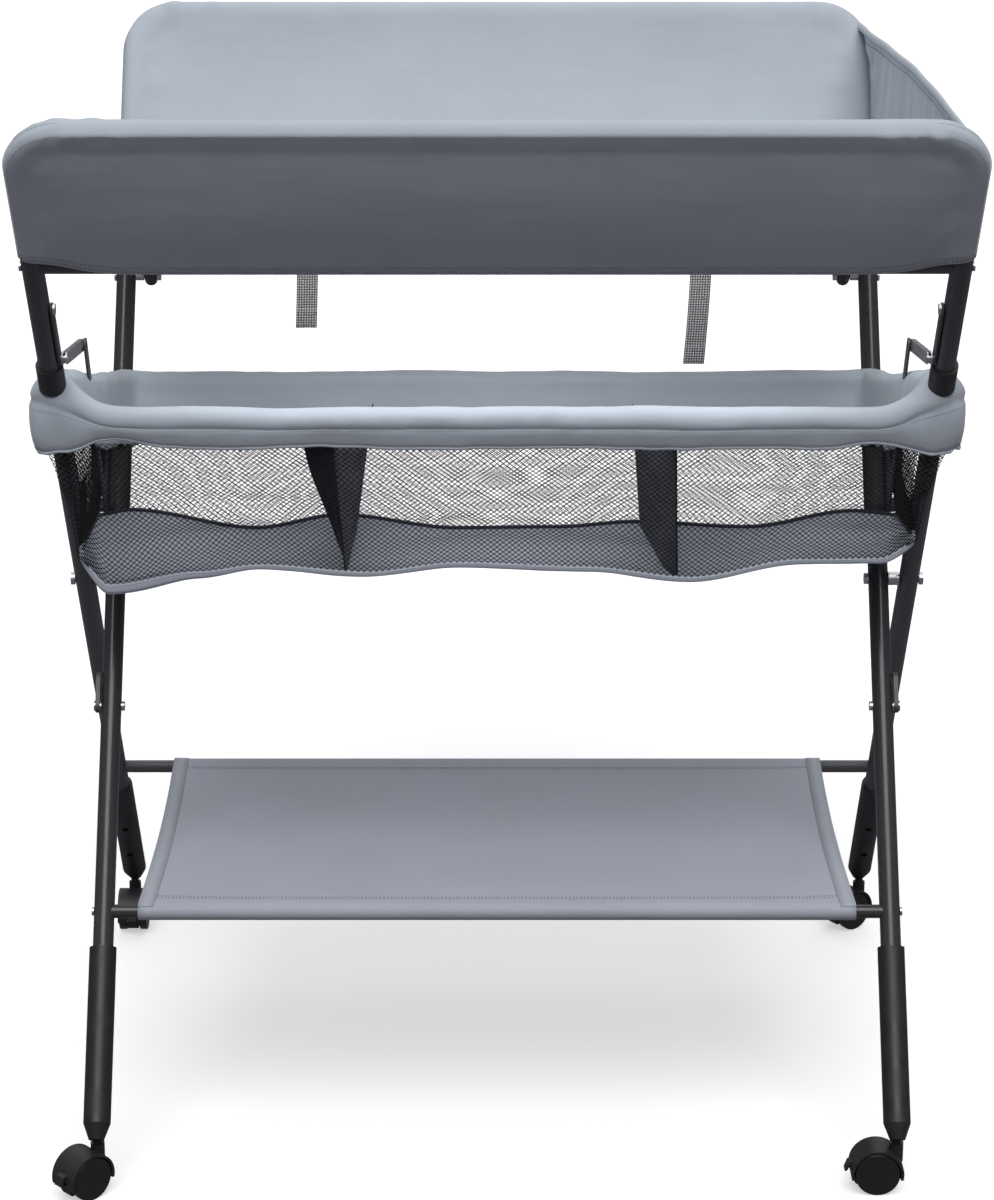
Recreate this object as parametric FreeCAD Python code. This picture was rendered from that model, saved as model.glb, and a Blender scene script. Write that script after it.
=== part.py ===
"""Folding changing table: scissor frame on casters, fabric tray, net basket and shelf.

Millimetres. +Z up, +Y to the rear wall, +X to the closed head end of the tray.
The origin is on the floor, under the scissor pivot, which is the middle of the table.
"""
import FreeCAD, Part
import math
import os

V = FreeCAD.Vector
X_AXIS = V(1, 0, 0)
Z_AXIS = V(0, 0, 1)
ORIGIN = V(0, 0, 0)

# Scissor frame
PIVOT_Z = 491.0
TILT = 34.8
INNER_X = 364.75
OUTER_X = 394.0
TUBE_R = 9.5
TUBE_WALL = 1.2
BAR_R = 6.35
RAIL_TOP = 596.0
RAIL_BEND = 42.0
LEG_END = -479.0
RAIL_JOINT = 520.0
COLLAR_LOW = 282.0
COLLAR_HIGH = 311.0
COLLAR_R = 12.2
LOWER_BAR_S = -323.0
DECK_RAIL_S = 438.0
BASKET_RAIL_S = 198.0
BASKET_RAIL_R = 6.0
FIT = 0.05

# Leg sleeves and their spring buttons
SLEEVE_R = 12.5
SLEEVE_TOP = -357.0
SLEEVE_TIP = -534.0
SLEEVE_CONE = 15.0
SLEEVE_TIP_R = 7.0
SLEEVE_FLOOR = -506.0
BUTTON_S = -451.0
HOLE_PITCH = 25.0
BUTTON_R = 3.4
STEM_S = -522.0

# Twin-wheel casters
WHEEL_R = 20.5
WHEEL_WIDTH = 8.0
WHEEL_GAP = 14.0
CASTER_TRAIL = 17.5
HOOD_R = 24.0
HOOD_WIDTH = 31.0
HOOD_WEB = 13.0
HOOD_SKIN = 2.4
AXLE_R = 2.5
STEM_R = 4.0
BOSS_R = 6.5
BOSS_TOP = 47.0
STEM_TOP = 72.0
BRAKE_OFFSET = (19.7, 7.2)
BRAKE_HALF = 4.8

# Folding brace, bail and latch, as (y, z) places
ARM_S = 320.0
BRACKET_TOP_S = 384.0
ELBOW = (-70.0, 738.0)
LINK_S = 60.0
BAIL_S = 311.0
BAIL_X = 341.0
BAIL_LENGTH = 153.8
BAIL_LEAN = 48.7
BAIL_END = 13.0
LATCH_S = -126.0
LATCH_PIN_S = -112.0
LATCH_REACH = 26.0
FOLD_RANGE = 59.0
BOLT_R = 2.5
PIVOT_BOLT_R = 3.0

# Fabric
WALL_LOW = 446.0
WALL_HALF = 11.0
TUBE_CLEAR = 0.3
DECK_Z = 856.0
DECK_THICK = 6.0
DECK_HALF_Y = 238.0
DECK_X = (-366.0, 370.0)
PAD_THICK = 20.0
PAD_MARGIN = 10.0
END_WALL_X = (371.5, 374.5)
END_WALL_TOP = 984.0
SHELF_HALF_X = 335.0
FRONT_RAIL = (-156.0, 688.0)
FRONT_RAIL_X = 405.0
RIM_R = 13.5
RIM_HALF_X = 383.0
BASKET_LOW_Z = 537.0
BASKET_SIDE_X = (379.3, 381.1)
DIVIDERS = {"left": -145.0, "right": 137.0}
STRAP_HALF = 10.0
STRAPS = {"left": (-175.0, 737.0), "right": (190.0, 702.0)}

SIN = math.sin(math.radians(TILT))
COS = math.cos(math.radians(TILT))


def inner(shape):
    """Lean a shape drawn upright at the pivot to the rear, on the inner frame."""
    return leaned(shape, -TILT)


def outer(shape):
    """Lean a shape drawn upright at the pivot to the front, on the outer frame."""
    return leaned(shape, TILT)


def leaned(shape, angle):
    placed = shape.copy()
    placed.rotate(ORIGIN, X_AXIS, angle)
    placed.translate(V(0, 0, PIVOT_Z))
    return placed


def inner_point(s):
    return (s * SIN, PIVOT_Z + s * COS)


def outer_point(s):
    return (-s * SIN, PIVOT_Z + s * COS)


def rod(start, end, radius):
    return Part.makeCylinder(radius, (end - start).Length, start, end - start)


def pipe(start, end, radius, wall=TUBE_WALL):
    return rod(start, end, radius).cut(rod(start, end, radius - wall))


def x_rod(low, high, place, radius):
    """A round bar along X at place = (y, z)."""
    return rod(V(low, *place), V(high, *place), radius)


def box(low, high):
    size = V(*high) - V(*low)
    return Part.makeBox(size.x, size.y, size.z, V(*low))


def mirrored(shape):
    return shape.mirror(ORIGIN, X_AXIS)


def pair(shape):
    """The right-hand piece and its mirror image, as two solids of one node."""
    return Part.makeCompound([shape, mirrored(shape)])


def yz_plate(points, low, high):
    """A flat plate between two X places, outlined by (y, z) points."""
    corners = [V(low, y, z) for y, z in points]
    face = Part.Face(Part.makePolygon(corners + corners[:1]))
    return face.extrude(V(high - low, 0, 0))


def bar_plate(start, end, half, low, high):
    """A straight flat link with round ends between two (y, z) places."""
    along = V(0, end[0] - start[0], end[1] - start[1])
    side = X_AXIS.cross(along).normalize() * half
    corners = []
    for (y, z), sign in ((start, 1), (end, 1), (end, -1), (start, -1)):
        corners.append((y + sign * side.y, z + sign * side.z))
    ends = x_rod(low, high, start, half).fuse(x_rod(low, high, end, half))
    return yz_plate(corners, low, high).fuse(ends).removeSplitter()


def u_wire(half_width, low, top, bend):
    corner = bend * math.sqrt(0.5)
    edges = []
    start = V(-half_width, 0, low)
    for sign in (-1, 1):
        foot = V(sign * half_width, 0, low)
        rise = V(sign * half_width, 0, top - bend)
        turn = V(sign * (half_width - bend), 0, top)
        mid = V(sign * (half_width - bend + corner), 0, top - bend + corner)
        if sign < 0:
            edges.append(Part.LineSegment(foot, rise).toShape())
            edges.append(Part.Arc(rise, mid, turn).toShape())
            edges.append(Part.LineSegment(turn, V(half_width - bend, 0, top)).toShape())
        else:
            edges.append(Part.Arc(turn, mid, rise).toShape())
            edges.append(Part.LineSegment(rise, foot).toShape())
    return Part.Wire(edges), start


def u_rod(half_width, low, top, bend, radius):
    path, start = u_wire(half_width, low, top, bend)
    profile = Part.Wire(Part.Circle(start, Z_AXIS, radius).toShape())
    return path.makePipeShell([profile], True, False)


def u_tube(half_width, low, top, bend, radius):
    return u_rod(half_width, low, top, bend, radius).cut(
        u_rod(half_width, low, top, bend, radius - TUBE_WALL)
    )


def cross_bar(leg_x, s, radius):
    """A tube between two legs of one frame, its ends shaped to sit on the legs."""
    bar = pipe(V(-leg_x, 0, s), V(leg_x, 0, s), radius)
    for sign in (-1, 1):
        bar = bar.cut(rod(V(sign * leg_x, 0, s - 30), V(sign * leg_x, 0, s + 30), TUBE_R))
    return bar


def box_between(low, high):
    return box([min(a, b) for a, b in zip(low, high)], [max(a, b) for a, b in zip(low, high)])


def leg(x, top, button_side, holes):
    """A straight leg tube with bolt holes and the slot that the button rides in."""
    tube = pipe(V(x, 0, LEG_END), V(x, 0, top), TUBE_R)
    for s, radius in holes:
        tube = tube.cut(rod(V(x - 2 * TUBE_R, 0, s), V(x + 2 * TUBE_R, 0, s), radius))
    half = BUTTON_R + 0.4
    low = (x - half, 0, LEG_END - 1)
    high = (x + half, button_side * 2 * TUBE_R, BUTTON_S + HOLE_PITCH + half)
    return tube.cut(box_between(low, high))


def frame_tubes():
    inner_holes = [(0, PIVOT_BOLT_R), (LINK_S, BOLT_R), (BAIL_S, BOLT_R), (LATCH_S, BOLT_R)]
    outer_holes = [(0, PIVOT_BOLT_R + FIT)]
    collar_mid = (COLLAR_LOW + COLLAR_HIGH) / 2
    parts = {}
    for side, sign in (("left", -1), ("right", 1)):
        parts["inner_leg_" + side] = inner(
            leg(sign * INNER_X, RAIL_JOINT, 1, inner_holes)
        )
        parts["outer_leg_" + side] = outer(
            leg(sign * OUTER_X, collar_mid, -1, outer_holes)
        )
    parts["rear_top_rail"] = inner(u_tube(INNER_X, RAIL_JOINT, RAIL_TOP, RAIL_BEND, TUBE_R))
    parts["front_top_frame"] = outer(u_tube(OUTER_X, collar_mid, RAIL_TOP, RAIL_BEND, TUBE_R))
    collar = pipe(V(OUTER_X, 0, COLLAR_LOW), V(OUTER_X, 0, COLLAR_HIGH), COLLAR_R,
                  COLLAR_R - TUBE_R)
    parts["frame_collars"] = outer(pair(collar))
    parts["front_lower_bar"] = inner(cross_bar(INNER_X, LOWER_BAR_S, BAR_R))
    parts["rear_lower_bar"] = outer(cross_bar(OUTER_X, LOWER_BAR_S, BAR_R))
    parts["rear_deck_rail"] = inner(cross_bar(INNER_X, DECK_RAIL_S, BAR_R))
    parts["front_deck_rail"] = outer(cross_bar(OUTER_X, DECK_RAIL_S, BAR_R))
    parts["basket_rear_rail"] = inner(cross_bar(INNER_X, BASKET_RAIL_S, BASKET_RAIL_R))
    parts["basket_front_rail"] = x_rod(-FRONT_RAIL_X, FRONT_RAIL_X, FRONT_RAIL, BASKET_RAIL_R)
    return parts


def bolt(s, low, high, radius, heads):
    """A bolt along X at s, with round heads given as (x, length, radius)."""
    shape = x_rod(low, high, (0, s), radius)
    for x, length, head_r in heads:
        shape = shape.fuse(x_rod(x, x + length, (0, s), head_r))
    return shape.removeSplitter()


def fasteners():
    inside = INNER_X - TUBE_R
    gap = INNER_X + TUBE_R
    outside = OUTER_X + TUBE_R
    bail_in = BAIL_X - BAR_R
    bolts = [
        bolt(0, inside - 4, outside + 4, PIVOT_BOLT_R,
             [(inside - 4, 4, 5.5), (outside + 0.3, 3.7, 6.0)]),
        bolt(BAIL_S, bail_in - 4, gap + 2, BOLT_R, [(bail_in - 4, 3.7, 4.5), (gap, 2, 5.0)]),
        bolt(LINK_S, inside - 3, gap + 4, BOLT_R, [(inside - 3, 3, 4.5), (gap + 2.5, 1.5, 5.0)]),
        bolt(LATCH_S, inside - 3, gap + 6.8, BOLT_R,
             [(inside - 3, 3, 4.5), (gap + 5.3, 1.5, 5.0)]),
        bolt(LOWER_BAR_S, gap, gap + 1.9, 4.0, []),
        bolt(DECK_RAIL_S, gap, gap + 1.9, 4.0, []),
    ]
    pivot_spacer = x_rod(gap, OUTER_X - TUBE_R - 0.2, (0, 0), 6.5)
    pivot_spacer = pivot_spacer.cut(x_rod(gap - 1, OUTER_X, (0, 0), PIVOT_BOLT_R))
    bail_spacer = x_rod(BAIL_X + BAR_R + 0.1, inside, (0, BAIL_S), 4.5)
    bail_spacer = bail_spacer.cut(x_rod(BAIL_X, inside + 1, (0, BAIL_S), BOLT_R))
    latch_spacer = x_rod(gap, gap + 1.1, (0, LATCH_S), 4.5)
    latch_spacer = latch_spacer.cut(x_rod(gap - 1, gap + 2, (0, LATCH_S), BOLT_R))
    outer_pins = [
        x_rod(gap + 2.2, OUTER_X - TUBE_R, (0, ARM_S), BOLT_R),
        x_rod(gap + 1.2, OUTER_X - TUBE_R, (0, LATCH_PIN_S), BOLT_R),
        x_rod(outside, outside + 1.9, (0, LOWER_BAR_S), 4.0),
        x_rod(outside, outside + 1.9, (0, DECK_RAIL_S), 4.0),
    ]
    bracket_head = x_rod(OUTER_X - TUBE_R - 4, OUTER_X - TUBE_R - 2, (0, BRACKET_TOP_S), 5.0)
    outer_pins.append(bracket_head)
    right = Part.makeCompound(bolts)
    spacers = Part.makeCompound([pivot_spacer, bail_spacer, latch_spacer])
    pins = Part.makeCompound(outer_pins)
    return {
        "frame_bolts": inner(pair(right)),
        "bolt_spacers": inner(pair(spacers)),
        "frame_pins": outer(pair(pins)),
    }


def brace_parts():
    gap = INNER_X + TUBE_R
    leg_face = OUTER_X - TUBE_R
    corner = outer_point(ARM_S)
    foot = inner_point(LINK_S)
    plate = bar_plate((0, ARM_S), (0, BRACKET_TOP_S), 6.0, leg_face - 2, leg_face)
    plate = plate.cut(x_rod(leg_face - 3, leg_face + 1, (0, ARM_S), BOLT_R))
    flange_low = bar_plate(corner, ELBOW, 5.5, gap + 2.6, gap + 3.8)
    flange_high = bar_plate(corner, ELBOW, 5.5, gap + 6.0, gap + 7.2)
    along = V(0, ELBOW[0] - corner[0], ELBOW[1] - corner[1]).normalize()
    up = X_AXIS.cross(along)
    web_low = [(corner[0] + up.y * 4.3, corner[1] + up.z * 4.3),
               (ELBOW[0] + up.y * 4.3, ELBOW[1] + up.z * 4.3)]
    web_high = [(ELBOW[0] + up.y * 5.5, ELBOW[1] + up.z * 5.5),
                (corner[0] + up.y * 5.5, corner[1] + up.z * 5.5)]
    web = yz_plate(web_low + web_high, gap + 3.2, gap + 6.6)
    arm = flange_low.fuse([flange_high, web]).removeSplitter()
    arm = arm.cut(x_rod(gap, leg_face, corner, BOLT_R + FIT))
    elbow_pins = []
    for back in (0, 11):
        place = (ELBOW[0] - along.y * back, ELBOW[1] - along.z * back)
        arm = arm.cut(x_rod(gap, leg_face, place, 2.0))
        elbow_pins.append(x_rod(gap + 2.4, gap + 7.4, place, 2.0))
    link = bar_plate(foot, ELBOW, 6.5, gap + 0.3, gap + 2.3)
    link = link.cut(x_rod(gap, gap + 3, foot, BOLT_R + FIT))
    link = link.cut(x_rod(gap, gap + 3, ELBOW, 3.0))
    arm_node = Part.makeCompound([arm] + elbow_pins)
    return {
        "brace_brackets": outer(pair(plate)),
        "brace_arm_right": arm_node,
        "brace_arm_left": mirrored(arm_node),
        "brace_link_right": link,
        "brace_link_left": mirrored(link),
    }


def deck_bail():
    """U tube pivoted on the inner legs; its cross bar sits under the tray floor."""
    shape = u_tube(BAIL_X, -BAIL_END + BAR_R, BAIL_LENGTH, 40.0, BAR_R)
    for sign in (-1, 1):
        end = V(sign * BAIL_X, 0, -BAIL_END + BAR_R)
        cap = Part.makeSphere(BAR_R, end, Z_AXIS, -90, 0, 360)
        shape = shape.fuse(cap)
    shape = shape.cut(x_rod(-INNER_X, INNER_X, (0, 0), BOLT_R + FIT))
    shape.rotate(ORIGIN, X_AXIS, BAIL_LEAN)
    shape.translate(V(0, *inner_point(BAIL_S)))
    return {"deck_bail": shape}


def latch_hooks():
    """Hook plate that holds the frame shut: drawn closed, then turned up to rest."""
    low = INNER_X + TUBE_R + 1.2
    high = low + 4.0
    hook = bar_plate((0, 0), (LATCH_REACH, 0), 6.5, low, high)
    hook = hook.cut(x_rod(low - 1, high + 1, (0, 0), BOLT_R + FIT))
    hook = hook.cut(x_rod(low - 1, high + 1, (LATCH_REACH, 0), 3.2))
    mouth = box((low - 1, LATCH_REACH - 3.2, -8), (high + 1, LATCH_REACH + 3.2, 0))
    hook = hook.cut(mouth)
    hook.rotate(ORIGIN, X_AXIS, 90 - TILT)
    hook.translate(V(0, *inner_point(LATCH_S)))
    return {"latch_hook_right": hook, "latch_hook_left": mirrored(hook)}


def sleeve(x, button_side):
    body = rod(V(x, 0, SLEEVE_TIP + SLEEVE_CONE), V(x, 0, SLEEVE_TOP), SLEEVE_R)
    tip = Part.makeCone(SLEEVE_TIP_R, SLEEVE_R, SLEEVE_CONE, V(x, 0, SLEEVE_TIP), Z_AXIS)
    body = body.fuse(tip).removeSplitter()
    body = body.cut(rod(V(x, 0, SLEEVE_FLOOR), V(x, 0, SLEEVE_TOP + 1), TUBE_R + 2 * FIT))
    for step in (-1, 0, 1):
        s = BUTTON_S + step * HOLE_PITCH
        body = body.cut(rod(V(x, 0, s), V(x, button_side * 2 * SLEEVE_R, s), BUTTON_R + FIT))
    return body


def button(x, button_side):
    start = V(x, button_side * 5.0, BUTTON_S)
    end = V(x, button_side * (SLEEVE_R + 0.6), BUTTON_S)
    tip = V(x, button_side * (SLEEVE_R + 1.8), BUTTON_S)
    shape = rod(start, end, BUTTON_R)
    cap = Part.makeCone(BUTTON_R, BUTTON_R - 1.2, 1.2, end, tip - end)
    return shape.fuse(cap).removeSplitter()


def y_rod(x, z, half, radius):
    return rod(V(x, -half, z), V(x, half, z), radius)


def caster_hood():
    """Hood, web, boss and stem, with the swivel axis on Z and the wheels behind it at +X."""
    x = CASTER_TRAIL
    z = WHEEL_R
    skin = y_rod(x, z, HOOD_WIDTH / 2, HOOD_R).cut(y_rod(x, z, HOOD_WIDTH, HOOD_R - HOOD_SKIN))
    web = y_rod(x, z, HOOD_WEB / 2, HOOD_R - HOOD_SKIN / 2)
    below = HOOD_R * 2
    skin = skin.cut(box((x - below, -below, -below), (x + below, below, z - 5)))
    web = web.cut(box((x - below, -below, -below), (x + below, below, z - 13)))
    boss = rod(V(0, 0, z + 8), V(0, 0, BOSS_TOP), BOSS_R - 0.1)
    stem = rod(V(0, 0, BOSS_TOP), V(0, 0, STEM_TOP), STEM_R)
    hood = skin.fuse([web, boss, stem]).removeSplitter()
    hood = hood.cut(y_rod(x, z, HOOD_WIDTH, AXLE_R + FIT))
    hub_x = x + BRAKE_OFFSET[0]
    hub_z = z + BRAKE_OFFSET[1]
    room = BRAKE_HALF + 0.4
    hood = hood.cut(y_rod(hub_x, hub_z, room, 3.4))
    return hood.cut(box((hub_x, -room, hub_z - 9), (hub_x + 14, room, hub_z + 3.4)))


def caster_wheels():
    axle = y_rod(CASTER_TRAIL, WHEEL_R, WHEEL_GAP / 2 + WHEEL_WIDTH, AXLE_R)
    solids = [axle]
    for sign in (-1, 1):
        near = V(CASTER_TRAIL, sign * WHEEL_GAP / 2, WHEEL_R)
        far = V(CASTER_TRAIL, sign * (WHEEL_GAP / 2 + WHEEL_WIDTH), WHEEL_R)
        disc = rod(near, far, WHEEL_R)
        rims = [e for e in disc.Edges if e.Curve.TypeId == "Part::GeomCircle"]
        disc = disc.makeFillet(1.2, rims)
        solids.append(disc.cut(axle))
    return Part.makeCompound(solids)


def brake_lever():
    hub_x = CASTER_TRAIL + BRAKE_OFFSET[0]
    hub_z = WHEEL_R + BRAKE_OFFSET[1]
    hub = y_rod(hub_x, hub_z, BRAKE_HALF, 2.9)
    outline = [(-1.0, 2.6), (6.8, 0.4), (9.8, -7.7), (7.8, -8.1), (4.8, -2.9), (-0.6, -2.4)]
    corners = [V(hub_x + a, -BRAKE_HALF, hub_z + b) for a, b in outline]
    blade = Part.Face(Part.makePolygon(corners + corners[:1])).extrude(V(0, 2 * BRAKE_HALF, 0))
    return hub.fuse(blade).removeSplitter()


# Where each foot is: side, X of its leg, frame placing, and the way the caster trails
FEET = {
    "front_left": (-1, INNER_X, inner, 225.0),
    "front_right": (1, INNER_X, inner, 180.0),
    "rear_left": (-1, OUTER_X, outer, 270.0),
    "rear_right": (1, OUTER_X, outer, 217.0),
}


def feet():
    parts = {}
    for name, (sign, leg_x, place, yaw) in FEET.items():
        front = name.startswith("front")
        facing = 1 if front else -1
        stem_y = (inner_point(STEM_S) if front else outer_point(STEM_S))[0]
        tube = place(sleeve(sign * leg_x, facing))
        stem_hole = rod(V(sign * leg_x, stem_y, BOSS_TOP - 5), V(sign * leg_x, stem_y, STEM_TOP + 1),
                        STEM_R + FIT)
        parts["leg_sleeve_" + name] = tube.cut(stem_hole)
        parts["height_button_" + name] = place(button(sign * leg_x, facing))
        for node, shape in (("caster_hood_", caster_hood()), ("caster_wheels_", caster_wheels()),
                            ("brake_lever_", brake_lever())):
            shape.rotate(ORIGIN, Z_AXIS, yaw)
            shape.translate(V(sign * leg_x, stem_y, 0))
            parts[node + name] = shape
    return parts


def wall(half_width, place):
    """A fabric wall pulled over the top of a U tube, hollow where the tube runs."""
    reach = TUBE_R + 1.0
    wide = half_width + reach
    top = RAIL_TOP + reach
    radius = RAIL_BEND + reach
    slab = box((-wide, -WALL_HALF, WALL_LOW), (wide, WALL_HALF, top))
    corners = [e for e in slab.Edges
               if e.Vertexes[0].Z > top - 1 and e.Vertexes[1].Z > top - 1
               and abs(e.Vertexes[0].X - e.Vertexes[1].X) < 1]
    slab = slab.makeFillet(radius, corners)
    hollow = u_rod(half_width, WALL_LOW - 5, RAIL_TOP, RAIL_BEND, TUBE_R + TUBE_CLEAR)
    return place(slab.cut(hollow))


def wall_face_y(z, offset):
    """Y of the inner frame's fabric face at a height, offset square to the frame's plane."""
    return (z - PIVOT_Z) * SIN / COS - offset / COS


def tray():
    deck_top = DECK_Z + DECK_THICK
    pad_low = (DECK_X[0] + PAD_MARGIN, -DECK_HALF_Y + PAD_MARGIN, deck_top)
    pad_high = (DECK_X[1] - PAD_MARGIN, DECK_HALF_Y - PAD_MARGIN, deck_top + PAD_THICK)
    low_y = wall_face_y(DECK_Z, WALL_HALF + 1)
    high_y = wall_face_y(END_WALL_TOP, WALL_HALF + 1)
    end = [(-low_y, DECK_Z), (low_y, DECK_Z), (high_y, END_WALL_TOP), (-high_y, END_WALL_TOP)]
    parts = {
        "front_wall": wall(OUTER_X, outer),
        "rear_wall": wall(INNER_X, inner),
        "head_end_wall": yz_plate(end, *END_WALL_X),
        "tray_floor": box((DECK_X[0], -DECK_HALF_Y, DECK_Z), (DECK_X[1], DECK_HALF_Y, deck_top)),
        "changing_mat": box(pad_low, pad_high),
    }
    for side, (x, low) in STRAPS.items():
        parts["storage_strap_" + side] = box(
            (x - STRAP_HALF, -1, low), (x + STRAP_HALF, 1, DECK_Z)
        )
    return parts


def shelf():
    front = inner_point(LOWER_BAR_S)
    rear = outer_point(LOWER_BAR_S)
    half_thick = 1.5
    sheet = box((-SHELF_HALF_X, front[0], front[1] - half_thick),
                (SHELF_HALF_X, rear[0], rear[1] + half_thick))
    for place in (front, rear):
        sheet = sheet.fuse(x_rod(-SHELF_HALF_X, SHELF_HALF_X, place, BAR_R + 1.7))
    for place in (front, rear):
        sheet = sheet.cut(x_rod(-SHELF_HALF_X - 1, SHELF_HALF_X + 1, place, BAR_R + 0.25))
    return {"bottom_shelf": sheet}


def basket():
    rail_y, rail_z = FRONT_RAIL
    rim = x_rod(-RIM_HALF_X, RIM_HALF_X, FRONT_RAIL, RIM_R)
    net = yz_plate([(rail_y + 2.8, rail_z - 10), (rail_y + 5.2, rail_z - 10),
                    (rail_y + 14.2, BASKET_LOW_Z), (rail_y + 11.8, BASKET_LOW_Z)],
                   -RIM_HALF_X + 3, RIM_HALF_X - 3)
    front = rim.fuse(net).cut(x_rod(-OUTER_X, OUTER_X, FRONT_RAIL, BASKET_RAIL_R + TUBE_CLEAR))
    half = INNER_X - TUBE_R - 1.8
    rear_rim = x_rod(-half + 8, half - 8, (0, BASKET_RAIL_S), 10.5)
    rear_net = box((-half, -12.0, 52.0), (half, -9.6, BASKET_RAIL_S - 2))
    rear = rear_rim.fuse(rear_net)
    rear = rear.cut(x_rod(-half, half, (0, BASKET_RAIL_S), BASKET_RAIL_R + TUBE_CLEAR))
    side = yz_plate([(-146, 676), (86, 652), (20, BASKET_LOW_Z), (-139, BASKET_LOW_Z)],
                    *BASKET_SIDE_X)
    band = yz_plate([(-139, 702), (88, 668), (88, 644), (-139, 672)],
                    BASKET_SIDE_X[0] - 0.6, BASKET_SIDE_X[1] + 2.6)
    side = side.fuse(band)
    divider = [(-148.5, 664), (86, 636), (18, 541), (-140, 541)]
    floor = box((-378.5, -143.0, BASKET_LOW_Z - 4), (378.5, 17.0, BASKET_LOW_Z - 1))
    return {
        "basket_front_panel": front,
        "basket_rear_panel": inner(rear),
        "basket_side_right": side,
        "basket_side_left": mirrored(side),
        "basket_divider_left": yz_plate(divider, DIVIDERS["left"] - 1, DIVIDERS["left"] + 1),
        "basket_divider_right": yz_plate(divider, DIVIDERS["right"] - 1, DIVIDERS["right"] + 1),
        "basket_floor": floor,
    }


def main():
    os.makedirs("parts", exist_ok=True)
    parts = {}
    for group in (frame_tubes, fasteners, brace_parts, deck_bail, latch_hooks, feet, tray,
                  shelf, basket):
        parts.update(group())
    for name, shape in parts.items():
        shape.exportStep("parts/" + name + ".step")
    print(len(parts), "nodes")


main()
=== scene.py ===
import math

import bmesh
import bpy
import numpy as np
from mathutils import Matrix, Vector, noise


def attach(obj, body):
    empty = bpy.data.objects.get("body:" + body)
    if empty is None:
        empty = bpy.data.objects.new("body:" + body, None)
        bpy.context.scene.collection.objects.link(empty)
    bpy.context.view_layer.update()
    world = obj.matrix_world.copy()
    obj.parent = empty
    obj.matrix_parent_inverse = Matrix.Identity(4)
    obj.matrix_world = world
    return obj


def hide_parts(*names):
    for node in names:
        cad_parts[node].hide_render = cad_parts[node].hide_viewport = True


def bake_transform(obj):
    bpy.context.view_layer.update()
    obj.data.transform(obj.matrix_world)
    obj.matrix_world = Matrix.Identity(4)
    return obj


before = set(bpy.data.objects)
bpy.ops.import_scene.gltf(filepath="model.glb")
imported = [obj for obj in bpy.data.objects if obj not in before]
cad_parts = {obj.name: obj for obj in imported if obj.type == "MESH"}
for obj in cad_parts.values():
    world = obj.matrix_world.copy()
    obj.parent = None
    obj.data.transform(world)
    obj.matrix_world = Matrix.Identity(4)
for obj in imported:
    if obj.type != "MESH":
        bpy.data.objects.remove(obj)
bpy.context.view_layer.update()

# The frame, in metres, as the CAD model has it
TILT = math.radians(34.8)
PIVOT = 0.491
INNER_X = 0.36475
OUTER_X = 0.394
RAIL_TOP = 0.596
RAIL_BEND = 0.042
LOWER_BAR_S = -0.323
BAR_R = 0.00635
FRONT_RAIL = (-0.156, 0.688)
REAR_RAIL = (0.113, 0.6536)
DECK_Z = 0.857

INNER, OUTER = "inner_frame", "outer_frame"
UP = Vector((0, 0, 1))
scene = bpy.context.scene


def on_inner(x, y, s):
    """A point of the inner frame's own plane: s along its legs, y square to them."""
    return Vector((x, y * math.cos(TILT) + s * math.sin(TILT),
                   PIVOT - y * math.sin(TILT) + s * math.cos(TILT)))


def on_outer(x, y, s):
    """The same for the outer frame, which leans the other way."""
    return Vector((x, y * math.cos(TILT) - s * math.sin(TILT),
                   PIVOT + y * math.sin(TILT) + s * math.cos(TILT)))


def smooth(a, b, x):
    """A soft step of x, from 0 at a to 1 at b."""
    t = min(max((x - a) / (b - a), 0.0), 1.0)
    return t * t * (3 - 2 * t)


def mix(a, b, t):
    return a + (b - a) * t


def crowded(u, share):
    """Moves u, from -1 to 1, towards the nearer end, so that a grid is finer at both ends."""
    return share * math.sin(u * math.pi / 2) + (1 - share) * u


def rough_noise(x, y, z, scale, seed=0.0):
    """Repeatable noise from about -1 to 1, with scale bumps to the metre."""
    return noise.noise(Vector((x * scale + seed, y * scale - seed, z * scale + 2 * seed)))


def curve_through(points, x):
    """A smooth height at x between a few (x, height) places."""
    for (x0, h0), (x1, h1) in zip(points, points[1:]):
        if x <= x1:
            return mix(h0, h1, smooth(x0, x1, x))
    return points[-1][1]


# ---------------------------------------------------------------- meshes

def new_object(name, verts, faces, uvs=None):
    mesh = bpy.data.meshes.new(name)
    mesh.from_pydata([tuple(v) for v in verts], [], faces)
    if uvs is not None:
        layer = mesh.uv_layers.new(name="UVMap")
        for loop in mesh.loops:
            layer.data[loop.index].uv = uvs[loop.vertex_index]
    mesh.polygons.foreach_set("use_smooth", [True] * len(mesh.polygons))
    mesh.update()
    obj = bpy.data.objects.new(name, mesh)
    scene.collection.objects.link(obj)
    return obj


def lengths(points):
    """How far each point lies along the line through them all."""
    out = [0.0]
    for a, b in zip(points, points[1:]):
        out.append(out[-1] + (Vector(b) - Vector(a)).length)
    return out


def grid_rows(columns, levels, place):
    """Rows of points place(u, v), with u and v from 0 to 1."""
    return [[place(i / columns, j / levels) for i in range(columns + 1)]
            for j in range(levels + 1)]


def ring_faces(count, sides, closed=False):
    """Quads from each ring of points to the next."""
    faces = []
    for i in range(count if closed else count - 1):
        j = (i + 1) % count
        for k in range(sides):
            m = (k + 1) % sides
            faces.append((i * sides + k, i * sides + m, j * sides + m, j * sides + k))
    return faces


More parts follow.
